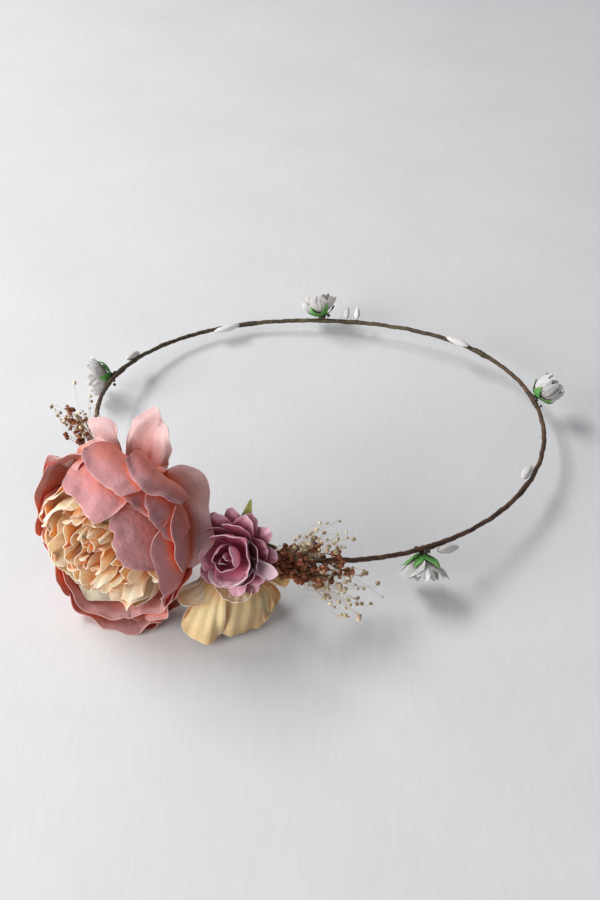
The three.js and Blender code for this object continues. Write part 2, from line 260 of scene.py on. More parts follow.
# A paler copy of the pink silk for the peony's back petals: the paleness is painted light on their upturned
# faces.
PINK_LIT = cloth(
    "silk_pink_lit", (0.80, 0.27, 0.18), (0.70, 0.36, 0.33), (0.68, 0.46, 0.455),
    (0.92, 0.74, 0.70), (0.94, 0.90, 0.92),
    fold=(0.84, 0.18, 0.10), deep=(0.3, 0.6, 0.9), crumple=2.0, glow=0.45,
)
CREAM = cloth(
    "silk_cream", (0.97, 0.38, 0.12), (0.98, 0.62, 0.33), (0.98, 0.77, 0.55),
    (0.99, 0.93, 0.84), (0.99, 0.96, 0.92),
    fold=(0.97, 0.40, 0.13), deep=(0.2, 0.5, 0.85), glow=0.9, crevice=0.8,
)
MAUVE = cloth(
    "paper_mauve", (0.40, 0.05, 0.10), (0.70, 0.22, 0.32), (0.86, 0.48, 0.58),
    (0.96, 0.82, 0.86), (0.92, 0.88, 0.97),
    fold=(0.22, 0.014, 0.035), weave=0.22, glow=0.2, sheen=0.15, crevice=0.85,
)
BUTTER = cloth(
    "silk_butter", (0.84, 0.38, 0.12), (0.86, 0.64, 0.37), (0.86, 0.58, 0.32),
    (0.97, 0.86, 0.70), (1.0, 0.96, 0.92),
    fold=(0.90, 0.42, 0.13), glow=0.8, deep=(0.15, 0.55, 1.0), crevice=0.6,
)
LEAF = cloth(
    "leaf_olive", (0.14, 0.15, 0.03), (0.24, 0.27, 0.05), (0.34, 0.36, 0.09),
    (0.40, 0.42, 0.18), (0.85, 0.8, 0.8),
    fold=(0.07, 0.05, 0.015), veins=0.3, glow=0.15,
)
SEPAL = cloth(
    "sepal_green", (0.05, 0.20, 0.03), (0.10, 0.36, 0.07), (0.22, 0.50, 0.14),
    (0.40, 0.62, 0.30), (0.9, 0.95, 0.9),
    fold=(0.03, 0.10, 0.02), weave=0.22, glow=0.2, sheen=0.1,
)
WHITE = cloth(
    "paper_white", (0.56, 0.52, 0.45), (0.74, 0.725, 0.69), (0.80, 0.79, 0.765),
    (0.90, 0.895, 0.87), (0.96, 0.96, 0.97),
    fold=(0.42, 0.41, 0.38), weave=0.22, glow=0.3, sheen=0.1, crevice=0.7,
)
TAPE = tape_material()


def plain_material(name, dark, light, roughness, metallic=0.0):
    """Two shades in fine patches, for wire, stems and glue."""
    n = Nodes(name)
    patches = n.noise(700, 3.0)
    colour = n.ramp(patches, (0.35, dark), (0.65, light))
    return n.finish(colour, n.bump(patches, 0.0002, 0.6), roughness, Metallic=metallic)


WIRE = plain_material("bare_wire", (0.20, 0.20, 0.21), (0.34, 0.35, 0.36), 0.35, 1.0)
GLUE = plain_material("dark_glue", (0.012, 0.010, 0.007), (0.05, 0.045, 0.03), 0.25)
BROWN = dried_material("dried_brown", (0.10, 0.028, 0.012), (0.52, 0.20, 0.10))
STRAW = dried_material("dried_straw", (0.42, 0.32, 0.16), (0.86, 0.78, 0.58), 0.25)


# ---- mesh building ---------------------------------------------------------------------------------------
class Build:
    """Collects surfaces for one piece and turns them into one mesh object."""

    def __init__(self):
        self.points, self.quads, self.uvs, self.values = [], [], [], []
        self.count = 0

    def grid(self, points, uv, values, wrap=False, flip=False):
        """points (rows, columns, 3) in mm; wrap joins the last column to the first."""
        rows, columns = points.shape[:2]
        index = np.arange(rows * columns).reshape(rows, columns) + self.count
        if wrap:
            index = np.concatenate([index, index[:, :1]], axis=1)
        quads = np.stack([index[:-1, :-1], index[:-1, 1:], index[1:, 1:], index[1:, :-1]], axis=-1)
        quads = quads.reshape(-1, 4)
        self.quads.append(quads[:, ::-1] if flip else quads)
        self.points.append(points.reshape(-1, 3))
        self.uvs.append(np.broadcast_to(uv, (*points.shape[:2], 2)).reshape(-1, 2))
        self.values.append(np.broadcast_to(values, (*points.shape[:2], 4)).reshape(-1, 4))
        self.count += rows * columns
        return index

    def sheet(self, points, thickness, uv, values):
        """A thin closed shell round a grid: both faces and the cut edge."""
        du = np.gradient(points, axis=1)
        dv = np.gradient(points, axis=0)
        normals = unit(np.cross(du, dv) + 1e-12)
        side = values.copy()
        side[..., 3] = 1
        inner = self.grid(points + normals * thickness / 2, uv, values)
        outer = self.grid(points - normals * thickness / 2, uv, side, flip=True)
        edges = (0, slice(None)), (-1, slice(None, None, -1)), (slice(None, None, -1), 0), (slice(None), -1)
        for a, b in ((inner[edge], outer[edge]) for edge in edges):
            self.quads.append(np.stack([a[1:], a[:-1], b[:-1], b[1:]], axis=-1))

    def piece(self, name, material, body_slot, replaced, place=None):
        points = np.concatenate(self.points)
        if place is not None:
            points = place(points)
        mesh = bpy.data.meshes.new(name)
        quads = np.concatenate(self.quads)
        mesh.from_pydata((points + SHIFT) * MM, [], quads.tolist())
        uv = mesh.uv_layers.new(name="cloth")
        corners = np.empty(len(mesh.loops), dtype=np.int32)
        mesh.loops.foreach_get("vertex_index", corners)
        uv.data.foreach_set("uv", np.concatenate(self.uvs)[corners].astype(np.float32).ravel())
        values = mesh.attributes.new("petal", "FLOAT_COLOR", "POINT")
        values.data.foreach_set("color", np.concatenate(self.values).astype(np.float32).ravel())
        mesh.materials.append(material)
        mesh.validate()
        mesh.shade_smooth()
        mesh.set_sharp_from_angle(angle=np.radians(70))
        piece = bpy.data.objects.new(name, mesh)
        bpy.context.scene.collection.objects.link(piece)
        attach(piece, "root")
        if replaced:
            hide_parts(*replaced)
        return piece


def flower_axes(axis):
    """A flower's own directions: z along its axis, x level, y upwards."""
    z = unit(axis)
    x = unit(np.cross((0, 0, 1), z))
    return np.stack([x, np.cross(z, x), z])


def flower_frame(base, axis):
    """Places points given in a flower's own frame."""
    turn = flower_axes(axis)
    return lambda points: np.asarray(points) @ turn + np.asarray(base, float)


def path_through(controls, count):
    """A smooth curve through control points, evenly spaced along its length."""
    controls = np.asarray(controls, float)
    padded = np.concatenate([[2 * controls[0] - controls[1]], controls, [2 * controls[-1] - controls[-2]]])
    pieces = []
    for i in range(len(controls) - 1):
        p0, p1, p2, p3 = padded[i : i + 4]
        t = np.linspace(0, 1, 24, endpoint=False)[:, None]
        bend, swing = 2 * p0 - 5 * p1 + 4 * p2 - p3, 3 * p1 - p0 - 3 * p2 + p3
        pieces.append(0.5 * (2 * p1 + (p2 - p0) * t + bend * t**2 + swing * t**3))
    fine = np.concatenate([*pieces, controls[-1:]])
    run = np.concatenate([[0], np.cumsum(np.linalg.norm(np.diff(fine, axis=0), axis=1))])
    even = np.linspace(0, run[-1], count)
    return np.stack([np.interp(even, run, fine[:, k]) for k in range(controls.shape[1])], axis=1), run[-1]


def waves(rng, u, v, count, low, high):
    """A smooth random field over u and v from a few sine waves, roughly between -1 and 1."""
    total = np.zeros_like(u)
    for _ in range(count):
        f, g = rng.uniform(low, high, 2) * rng.choice([-1, 1], 2)
        total += np.sin(f * u + g * v + rng.uniform(0, 6.3))
    return total / count**0.5


def near_edge(distance):
    """1 at a petal's cut edge, fading over the millimetres inside it."""
    return np.exp(-distance / 0.9 * 0.105)


def petal(
    build, rng, azimuth, profile, half_width, rim=0.42, power=2.6, neck=0.16, fullest=0.62,
    ruffle=0.6, wrinkle=0.25, roll=0.0, skew=0.0, scallop=0.02, lobes=0, lobe_depth=0.0, tip=0.0,
    ribs=0, rib=0.0, thickness=0.22, grid=34, floor=None,
):
    """One petal. profile runs from base to tip as (distance from the axis, height) pairs; the petal wraps round
    the axis by its half width on each side. rim rounds its end, tip draws it to a point, roll curls its end
    back, skew twists it, lobes scallop its end, ribs press veins into it, and ruffle waves its edge."""
    rows = columns = grid
    path, length = path_through(profile, 120)
    u = np.linspace(-1, 1, columns)[None, :] * np.ones((rows, 1))
    s = np.linspace(0, 1, rows)[:, None] * np.ones((1, columns))
    end = 1 - rim * np.abs(u) ** power
    end += scallop * (waves(rng, 5 * u, 0 * u, 3, 0.6, 2.0) - 0.5)
    if lobes:
        end -= lobe_depth * (1 - np.abs(np.cos(np.pi * lobes * u / 2 + (0 if lobes % 2 else np.pi / 2))))
    end += tip * np.exp(-((u / 0.3) ** 2))
    end = end / end.max()
    t = s * end
    width = half_width * (neck + (1 - neck) * np.sin(np.pi / 2 * np.clip(t / fullest, 0, 1)) ** 1.2)
    way = np.linspace(0, 1, len(path))
    r, z = (np.interp(t, way, path[:, k]) for k in (0, 1))
    slope_r, slope_z = (np.interp(t, way, np.gradient(path[:, k])) for k in (0, 1))
    size = np.hypot(slope_r, slope_z)
    nr, nz = -slope_z / size, slope_r / size
    across = u * width
    rim_near = smooth((s - 0.55) / 0.45)
    free = np.maximum(rim_near, np.abs(u) ** 3 * smooth(s / 0.4))
    phase = rng.uniform(0, 6.3)
    frill = np.sin(across / half_width * rng.uniform(4, 6) + phase)
    frill = frill + 0.6 * np.sin(across / half_width * rng.uniform(8, 11) + 2 * phase)
    offset = -roll * smooth((s - 0.7) / 0.3) ** 2 * length * 0.12
    offset += ruffle * free * frill
    offset += wrinkle * waves(rng, across / 3.2, t * length / 5.0, 5, 0.5, 1.6) * (0.35 + 0.65 * free)
    if ribs:
        offset += rib * np.cos(np.pi * ribs * u) * smooth(t * 2)
    angle = np.radians(azimuth) + across / np.maximum(r, 0.35 * half_width) + np.radians(skew) * t
    r = r + offset * nr
    z = z + offset * nz
    points = np.stack([r * np.cos(angle), r * np.sin(angle), z], axis=-1)
    if floor is not None:
        points = floor(points)
    edge = near_edge(np.minimum((1 - s) * length * end, (1 - np.abs(u)) * np.maximum(width, 0.1)))
    values = np.stack([t, edge, np.full_like(t, rng.uniform(0, 0.8)), 0 * t], axis=-1)
    uv = np.stack([across, t * length], axis=-1)
    build.sheet(points[:, ::-1], thickness, uv[:, ::-1], values[:, ::-1])


def rim_petal(
    build, rng, rim, start=1.0, belly=34.0, hold=0.7, reflex=None, neck=0.4, fullest=0.75,
    ruffle=0.5, wrinkle=0.5, rim_wave=0.7, crease=0.0, curl=-1.3, tone=None, ribs=0, rib=0.0,
    thickness=0.22, grid=44, floor=None,
):
    """One petal drawn by its free edge. rim lists (azimuth, distance, height) along that edge. The petal leaves
    the axis at height start, swings out to about belly and closes on its rim, or with reflex it opens flat and
    bends back by that much halfway. ruffle waves the edge, wrinkle crumples the cloth, crease folds its middle,
    curl below zero turns its edge out, ribs press veins into it, and tone is its shade from 0 to 1."""
    rim = np.asarray(rim, float)
    turn = np.radians(rim[:, 0])
    corners = np.stack([rim[:, 1] * np.cos(turn), rim[:, 1] * np.sin(turn), rim[:, 2]], axis=-1)
    outline, width = path_through(corners, grid)
    azimuth = np.unwrap(np.arctan2(outline[:, 1], outline[:, 0]))
    middle = 0.5 * (azimuth.max() + azimuth.min())
    r_end, z_end = np.hypot(outline[:, 0], outline[:, 1]), outline[:, 2]
    u = np.linspace(-1, 1, grid)[None, :] * np.ones((grid, 1))
    s = np.linspace(0, 1, grid)[:, None] * np.ones((1, grid))
    end = 1 - 0.06 * np.abs(u) ** 6 + 0.012 * rim_wave * waves(rng, 9 * u, 0 * u, 4, 0.7, 2.4)
    t = s * end
    b0, b1, b2, b3 = (1 - t) ** 3, 3 * t * (1 - t) ** 2, 3 * t**2 * (1 - t), t**3
    if reflex is None:
        r = b0 * 1.8 + b1 * belly + b2 * belly + b3 * r_end
        z = b0 * start + b1 * start + b2 * (start + hold * (z_end - start)) + b3 * z_end
    else:
        r = b0 * 1.8 + b1 * 0.4 * r_end + b2 * 0.75 * r_end + b3 * r_end
        z = b0 * start + b1 * start + b2 * (z_end - reflex) + b3 * z_end
    fan = neck + (1 - neck) * np.sin(np.pi / 2 * np.clip(t / fullest, 0, 1)) ** 1.2
    angle = middle + (azimuth - middle) * fan
    points = np.stack([r * np.cos(angle), r * np.sin(angle), z], axis=-1)
    du, dv = np.gradient(points, axis=1), np.gradient(points, axis=0)
    normals = unit(np.cross(dv, du) + 1e-12)
    across = u * width / 2 * fan
    reach = 1.2 * np.maximum(r_end, 20)
    free = np.maximum(smooth((s - 0.6) / 0.4), np.abs(u) ** 4 * smooth(s / 0.5))
    frill = np.sin(across / 3.4 + rng.uniform(0, 6.3)) + 0.6 * np.sin(across / 1.7 + rng.uniform(0, 6.3))
    folded = crease * np.exp(-((u / 0.25) ** 2)) * smooth(t * 1.5)
    offset = ruffle * free * frill + curl * smooth((s - 0.82) / 0.18) ** 2 - folded
    offset += wrinkle * waves(rng, across / 3.2, t * reach / 5.0, 5, 0.5, 1.6) * (0.35 + 0.65 * free)
    if ribs:
        offset += rib * np.cos(np.pi * ribs * u) * smooth(t * 2)
    points = points + normals * offset[..., None]
    if floor is not None:
        points = floor(points)
    tone = rng.uniform(0, 0.8) if tone is None else tone
    edge = near_edge(np.minimum((1 - s) * reach, (1 - np.abs(u)) * width / 2))
    values = np.stack([t, edge, np.full_like(t, tone), 0 * t], axis=-1)
    uv = np.stack([across, t * reach], axis=-1)
    build.sheet(points[:, ::-1], thickness, uv[:, ::-1], values[:, ::-1])


def on_table(base, axis, height=0.6):
    """Bends petals that would pass through the table so that they lie along it."""
    turn = flower_axes(axis)

    def bend(points):
        world = points @ turn + np.asarray(base, float)
        low = world[..., 2]
        world[..., 2] = height + np.logaddexp(0, (low - height) * 1.4) / 1.4
        return (world - np.asarray(base, float)) @ turn.T

    return bend


def tube(build, line, radius, sides=8, seed=0.5):
    """A closed tube along points (n, 3) in mm; radius is one number or one per point, seed its random value."""
    line = np.asarray(line, float)
    radius = np.broadcast_to(radius, len(line))
    tangent = unit(np.gradient(line, axis=0))
    reference = np.array([0, 0, 1.0]) if abs(tangent[0][2]) < 0.9 else np.array([1.0, 0, 0])
    side = unit(np.cross(tangent, reference))
    up = np.cross(side, tangent)
    angle = np.linspace(0, 2 * np.pi, sides, endpoint=False)
    ring = np.cos(angle)[None, :, None] * side[:, None] + np.sin(angle)[None, :, None] * up[:, None]
    points = line[:, None] + radius[:, None, None] * ring
    points = np.concatenate([np.repeat(line[:1, None], sides, 1), points, np.repeat(line[-1:, None], sides, 1)])
    run = np.concatenate([[0], np.cumsum(np.linalg.norm(np.diff(points[:, 0], axis=0), axis=1))])
    uv = np.stack(np.broadcast_arrays(run[:, None], angle[None, :]), axis=-1)
    values = np.array([0.5, 0.0, seed, 0.0])
    build.grid(points, uv, values, wrap=True)


def blob(build, rng, centre, size, stretch=(1, 1, 1), rough=0.25, rings=7, sides=10):
    """A small closed lump with an uneven surface, such as a seed head."""
    polar = np.linspace(0, np.pi, rings)[:, None]
    turn = np.linspace(0, 2 * np.pi, sides, endpoint=False)[None, :]
    level = np.cos(polar) * np.ones_like(turn)
    direction = np.stack([np.sin(polar) * np.cos(turn), np.sin(polar) * np.sin(turn), level], axis=-1)
    bumps = sum(np.sin(direction @ rng.uniform(-5, 5, 3) + rng.uniform(0, 6.3)) for _ in range(3)) / 3
    radius = size * (1 + rough * bumps) * np.ones(direction.shape[:2])
    radius[0] = radius[0].mean()
    radius[-1] = radius[-1].mean()
    points = np.asarray(centre, float) + direction * radius[..., None] * np.asarray(stretch)
    build.grid(points, (0, 0), np.array([0.5, 0.0, rng.uniform(0, 1), 0.0]), wrap=True, flip=True)


# ---- the hoop's tape -------------------------------------------------------------------------------------
MM_PER_DEGREE = 1.6  # along the hoop
TAPE_STEP = 0.28
LAP_STEP = 0.2  # how far each turn of tape stands up where it laps the last
BARE_RADIUS = 0.9  # what a binding tapers down to at its ends
CORE_RADIUS = 0.6  # how far in the tape's closed ends reach


def wound_tape(name, start, stop, radius, pitch, node, lumps=0.09, taper=0.0, seed=1):
    """Crepe tape wound round the hoop: each turn laps the last by a thin step."""
    rng = np.random.default_rng(seed)
    steps = int(abs(stop - start) * MM_PER_DEGREE / TAPE_STEP)
    degrees = np.linspace(start, stop, steps)
    line = hoop_line(degrees)
    tangent = unit(np.gradient(line, axis=0))
    outward = unit(line * (1, 1, 0))
    up = unit(np.cross(tangent, outward))
    outward = np.cross(up, tangent)
    sides = 20
    around = np.linspace(0, 2 * np.pi, sides, endpoint=False)
    run = np.concatenate([[0], np.cumsum(np.linalg.norm(np.diff(line, axis=0), axis=1))])
    lap = (run[:, None] / pitch + around[None, :] / (2 * np.pi)) % 1
    slow = sum(np.sin(run / rng.uniform(4, 14) * 2 + rng.uniform(0, 6.3)) for _ in range(3)) / 3
    forward = run[:, None] / 1.6 * np.ones((1, sides))
    turned = np.ones((len(run), 1)) * around[None, :]
    size = radius * (1 + 0.09 * slow[:, None]) + LAP_STEP * lap
    size = size + lumps * waves(rng, forward, turned, 4, 0.6, 1.0)
    if taper:
        ends = np.minimum(run, run[-1] - run)
        size = BARE_RADIUS + (size - BARE_RADIUS) * smooth(ends / taper)[:, None]
    ring = np.cos(around)[None, :, None] * outward[:, None] + np.sin(around)[None, :, None] * up[:, None]
    points = line[:, None] + size[..., None] * ring
    inner = line[:, None] + CORE_RADIUS * ring
    points = np.concatenate([inner[:1], points, inner[-1:]])
    lap = np.concatenate([lap[:1], lap, lap[-1:]])
    run = np.concatenate([run[:1], run, run[-1:]])
    build = Build()
    uv = np.stack(np.broadcast_arrays(run[:, None], around[None, :] * radius), axis=-1)
    values = np.stack([lap, 0 * lap, np.full_like(lap, rng.uniform(0, 1)), 0 * lap], axis=-1)
    build.grid(points, uv, values, wrap=True, flip=True)
    build.piece(name, TAPE, "tape", [node])


LAP_FROM, LAP_TO = 222, 248
TAPE_JOINTS = [LAP_TO, 372, 481, 360 + LAP_FROM]
for i, (start, stop) in enumerate(zip(TAPE_JOINTS, TAPE_JOINTS[1:])):
    wound_tape(f"wound_tape_{i + 1}", start - 0.5, stop + 0.5, 0.8, 5.2, f"tape_length_{i + 1}", seed=10 + i)
wound_tape("wound_main_binding", LAP_FROM - 1, LAP_TO + 1, 1.3, 3.4, "main_binding", 0.2, 4, 20)

BINDINGS = {
    "rose_binding": 254, "sprig_binding_right": 264, "front_flower_binding": 297, "side_bud_binding": 334.6,
    "side_flower_binding": 372, "rear_bud_binding": 396.6, "back_flower_binding": 447, "back_buds_binding": 438,
    "left_bud_binding": 469, "left_flower_binding": 515, "sprig_binding_left": 558,
}
BINDING_HALF = 3.4  # degrees
for i, (name, degrees) in enumerate(BINDINGS.items()):
    ends = degrees - BINDING_HALF, degrees + BINDING_HALF
    wound_tape(f"wound_{name}", *ends, radius=1.02, pitch=2.6, node=name, lumps=0.16, taper=3.0, seed=30 + i)
bpy.data.objects["hoop_wire"].material_slots[0].material = WIRE


# ---- the silk peony --------------------------------------------------------------------------------------
PEONY = {"base": (-60.5, -75, 33.3), "axis": (-0.5, -0.86, 0.06)}
place_peony = flower_frame(**PEONY)
peony_floor = on_table(**PEONY, height=0.75)

# Each petal's free edge, as (azimuth, distance from the axis, height); azimuth 0 is level to the right and 90
# is up. Most rims that the photo shows are rounded from what a scratch program made of outlines read off it.
PEONY_BACK = [
    dict(rim=[(66, 22, 0), (66, 29, 1), (69.5, 36, 1), (74, 39.5, 0), (79.5, 39.5, -1), (82, 43.5, -2),
              (89, 39, -2), (96, 34, -1), (102, 27, -1), (107, 18, 0)],
         reflex=1.5, ruffle=0.2),
    dict(rim=[(110, 26, 0), (109.5, 33, 0), (117, 36, 0), (127, 36, 0), (133, 30, 0)], reflex=1, ruffle=0.2),
    dict(rim=[(337, 25.5, 11), (352, 30.5, 12), (5, 34, 10.5), (14, 34, 6), (26, 31, 2), (35, 33, -1),
              (47, 34, -1), (58, 30, 0), (65, 24, 0)],
         reflex=-2.5, ruffle=0.4, crease=1.2),
    dict(rim=[(90, 25, 7), (108, 29.5, 7), (128, 30.5, 6), (144, 30, 6)], reflex=3, ruffle=0.5),
    dict(rim=[(140, 29, 8), (158, 29.5, 11), (176, 28.5, 15), (196, 26, 15)], belly=29, hold=0.5, ruffle=0.7),
    dict(rim=[(192, 25, 18), (215, 26, 20), (236, 30, 20), (256, 33, 18)], belly=33, ruffle=0.9),
    dict(rim=[(250, 33, 20), (275, 36, 22), (297, 36.5, 18), (312, 31, 14)], belly=37, ruffle=0.9),
    dict(rim=[(306, 24, 7), (325, 23, 7), (345, 22, 7), (0, 21, 5)], belly=20, ruffle=0.5),
]
PEONY_OUTER = [
    dict(rim=[(40, 33, 14), (49, 33, 16.5), (56, 31.5, 19), (67, 31, 18.5), (80, 32, 15)],
         belly=35.5, ruffle=0.3, neck=0.5),
    dict(rim=[(354, 28, 18), (8, 28.5, 21), (18, 29, 21.5), (31, 30, 20), (41, 31, 15)],
         belly=29, hold=0.6, ruffle=0.35),
    dict(rim=[(104, 28, 14), (118, 30, 16), (133, 31.5, 16), (148, 32.5, 15), (160, 30, 19)],
         belly=29, hold=0.4, ruffle=0.5),
    dict(rim=[(148, 31, 15), (163, 29, 20), (180, 27, 23), (196, 25.5, 24)], belly=31, ruffle=0.6),
    dict(rim=[(190, 24.5, 20), (212, 25, 24), (232, 27.5, 26), (250, 30, 24)], belly=32, ruffle=0.9),
    dict(rim=[(236, 29, 24), (262, 31.5, 27), (282, 34.5, 25), (303, 34, 19)], belly=37, ruffle=1.0),
    dict(rim=[(292, 34, 20), (310, 31.5, 19), (332, 29, 18), (350, 28, 15)],
         belly=28, hold=0.55, start=2.5, ruffle=0.8),
]
PEONY_MIDDLE = [
    dict(rim=[(61, 28.5, 20), (70, 26.5, 22.5), (86, 26.5, 22.5), (101, 28.5, 20), (109, 31, 16)],
         belly=34.5, ruffle=0.25, fullest=1.0, neck=0.3),
    dict(rim=[(38, 27, 21), (50, 26, 21.5), (66, 25.5, 22.3), (84, 26, 21)], belly=32, ruffle=0.3),
    dict(rim=[(22, 28.5, 20.5), (33, 27.7, 21.3), (45, 27.5, 21.5), (58, 29, 19)], belly=33.5, ruffle=0.35),
    dict(rim=[(317, 29, 20), (344, 25.5, 24.5), (5, 24, 25.5), (20, 23.5, 25.5), (31, 25.5, 24),
              (37, 28.5, 20)],
         belly=31, ruffle=0.4),
    dict(rim=[(166, 26, 19), (182, 24.5, 22), (196, 23.5, 24), (210, 24, 23)], belly=29, ruffle=0.6),
    dict(rim=[(222, 24.5, 24), (245, 27, 26), (270, 29.5, 25), (292, 31, 21)], belly=32, ruffle=0.9),
    dict(rim=[(283, 30, 23), (305, 30, 19), (322, 28, 19), (335, 27, 18)], belly=29, start=2.5, ruffle=0.7),
]
PEONY_INNER = [
    dict(rim=[(358, 19.5, 25.5), (7, 14.5, 28.3), (28, 13, 28.8), (53, 15.5, 27.8), (66, 18.5, 26),
              (59, 23, 23)],
         belly=30, ruffle=0.25),
    dict(rim=[(60, 23, 24), (72, 16.5, 28), (90, 16, 28.2), (103, 18.5, 27), (126, 24.5, 22.5),
              (116, 25.5, 21.5)],
         belly=31.5, ruffle=0.25, fullest=1.15, neck=0.1),
]


def petal_piece(name, petals, material, slot, nodes, place, seed, **common):
    build = Build()
    rng = np.random.default_rng(seed)
    for values in petals:
        if isinstance(values.get("rim"), list):
            taken = ("grid", "floor", "thickness", "ribs", "rib")
            shared = {key: common[key] for key in taken if key in common}
            rim_petal(build, rng, **{**shared, **values})
        else:
            petal(build, rng, **{**common, **values})
    return build.piece(name, material, slot, nodes, place)


# The back petals take the paler pink, which paints on the light that falls on them.
for seed, (layer, petals, material) in enumerate((
    ("back", PEONY_BACK, PINK_LIT), ("outer", PEONY_OUTER, PINK),
    ("middle", PEONY_MIDDLE, PINK), ("inner", PEONY_INNER, PINK),
), 1):
    petal_piece(
        f"peony_{layer}_silk", petals, material, "silk_pink", [f"peony_{layer}_petals"], place_peony, seed,
        grid=44, floor=peony_floor,
    )


def crinkled_ring(count, turn, reach, height, half_width, seed):
    """Small crumpled cream petals whose rims stand round the peony's heart. Where the innermost pink petals
    close over them, they are shorter."""
    rng = np.random.default_rng(seed)
    petals = []
    for i in range(count):
        azimuth = turn + (i + rng.uniform(-0.25, 0.25)) * 360 / count
        covered = smooth(1.55 - abs((azimuth - 60 + 180) % 360 - 180) / 62)
        limit = 25 - 12.5 * covered
        r = min(reach * rng.uniform(0.92, 1.06), limit)
        h = height * rng.uniform(0.95, 1.03) - 0.28 * (reach - r) - 2 * covered
        flare = rng.uniform(-0.12, 0.1)
        petals.append(dict(
            azimuth=azimuth,
            profile=[
                (1.5, 6), (r * 0.5, 8), (r * 0.92, h * 0.62),
                (r * (1 + flare / 3), h * 0.87), (r * (1 + flare), h),
            ],
            half_width=half_width * rng.uniform(0.8, 1.2),
            skew=rng.uniform(-25, 25),
            roll=rng.uniform(-0.6, 0.6),
            rim=rng.uniform(0.22, 0.4),
            lobes=int(rng.integers(2, 5)),
            lobe_depth=rng.uniform(0.02, 0.07),
        ))
    return petals


CREAM_COMMON = dict(
    grid=36, power=3, ruffle=1.15, wrinkle=0.85, scallop=0.04, neck=0.35, thickness=0.2, floor=peony_floor,
)
# Each ring is (count, turn, reach, height, half width).
for layer, rings in (
    ("outer", [(7, 0, 26.5, 24.5, 11.5), (8, 25, 23, 26.5, 10.5)]),
    ("middle", [(7, 5, 19.5, 28.5, 9.5), (6, 30, 16, 30, 9), (6, 12, 12.5, 31.5, 8)]),
    ("inner", [(6, 0, 9, 32.5, 6), (4, 40, 5.5, 33, 4.5)]),
):
    name, node = f"peony_cream_{layer}_silk", f"peony_cream_{layer}_petals"
    petals = [p for k, ring in enumerate(rings) for p in crinkled_ring(*ring, seed=len(name) + k)]
    petal_piece(name, petals, CREAM, "silk_cream", [node], place_peony, len(name), **CREAM_COMMON)
heart = crinkled_ring(4, 15, 3, 33, 4, 9)
petal_piece("peony_heart_silk", heart, CREAM, "silk_cream", ["peony_heart"], place_peony, 9, **CREAM_COMMON)

# ---- the mauve paper rose ------------------------------------------------------------------------------
ROSE = {"base": (-26.8, -94.8, 32), "axis": (-0.34, -0.84, 0.41)}
place_rose = flower_frame(**ROSE)


def ring_of(count, turn, profile, half_width, seed, vary=0.08, **values):
    rng = np.random.default_rng(seed)
    return [
        dict(
            azimuth=turn + (i + rng.uniform(-0.15, 0.15)) * 360 / count,
            profile=[(r * (1 + rng.uniform(-vary, vary)), z + rng.uniform(-0.4, 0.4)) for r, z in profile],
            half_width=half_width * rng.uniform(0.9, 1.1),
            **values,
        )
        for i in range(count)
    ]


ROSE_COMMON = dict(
    grid=26, ruffle=0.25, wrinkle=0.14, rim=0.36, power=2.8, neck=0.4, fullest=0.55,
    thickness=0.18, scallop=0.01,
)
petal_piece(
    "rose_outer_paper",
    ring_of(11, 8, [(0.9, 0), (5, 0.2), (10, 0.4), (15.2, 0.6)], 4.2, 1, 0.07)
    + ring_of(7, 25, [(0.9, 0.8), (5, 1.4), (9.5, 2.6), (14, 3.6)], 4.8, 2, 0.1)
    + [dict(rim=[(336, 10, 5), (341, 15, 4.5), (352, 17, 4.2), (3, 14.5, 5), (6, 10, 5.5)],
            reflex=1, start=1, tone=1.0, curl=0, wrinkle=0.1, ruffle=0.2)],
    MAUVE, "paper_mauve", ["rose_outer_petals"], place_rose, 1, **ROSE_COMMON,
)
petal_piece(
    "rose_second_paper",
    ring_of(5, 20, [(0.9, 1.2), (6, 2.2), (9.6, 5), (11.5, 8)], 6.2, 3, 0.08),
    MAUVE, "paper_mauve", ["rose_second_petals"], place_rose, 2, **ROSE_COMMON,
)
petal_piece(
    "rose_cup_paper",
    ring_of(4, 95, [(0.9, 2), (5.6, 3.6), (7.8, 7), (7.4, 11)], 6.4, 5, 0.05, roll=0.9)
    + [dict(rim=[(230, 7.5, 6), (250, 8.6, 10), (285, 9.2, 11), (320, 9, 10.5), (342, 8, 6)],
            belly=9, hold=0.6, start=2, tone=1.0, curl=-0.8)],
    MAUVE, "paper_mauve", ["rose_cup_petals"], place_rose, 3, **ROSE_COMMON,
)
petal_piece(
    "rose_heart_paper",
    ring_of(3, 160, [(0.6, 3), (3.2, 5), (4.4, 8), (3.4, 11.8)], 4.6, 7)
    + ring_of(2, 70, [(0.3, 3), (1.2, 5), (1.9, 8), (1.2, 12.2)], 2.2, 8),
    MAUVE, "paper_mauve", ["rose_heart"], place_rose, 4, **ROSE_COMMON,
)
petal_piece("rose_leaf_cloth", [
    dict(azimuth=azimuth, profile=[(0.9, -1.5), (6, -1.4), (11, -1.4), (reach, -0.6)],
         half_width=4.2, tip=0.12, rim=0.7, power=1.5)
    for azimuth, reach in ((84, 19), (190, 18), (258, 17), (20, 14))
], LEAF, "leaf_green", ["rose_leaves"], place_rose, 5, grid=20, ruffle=0.3, wrinkle=0.2, scallop=0.03)

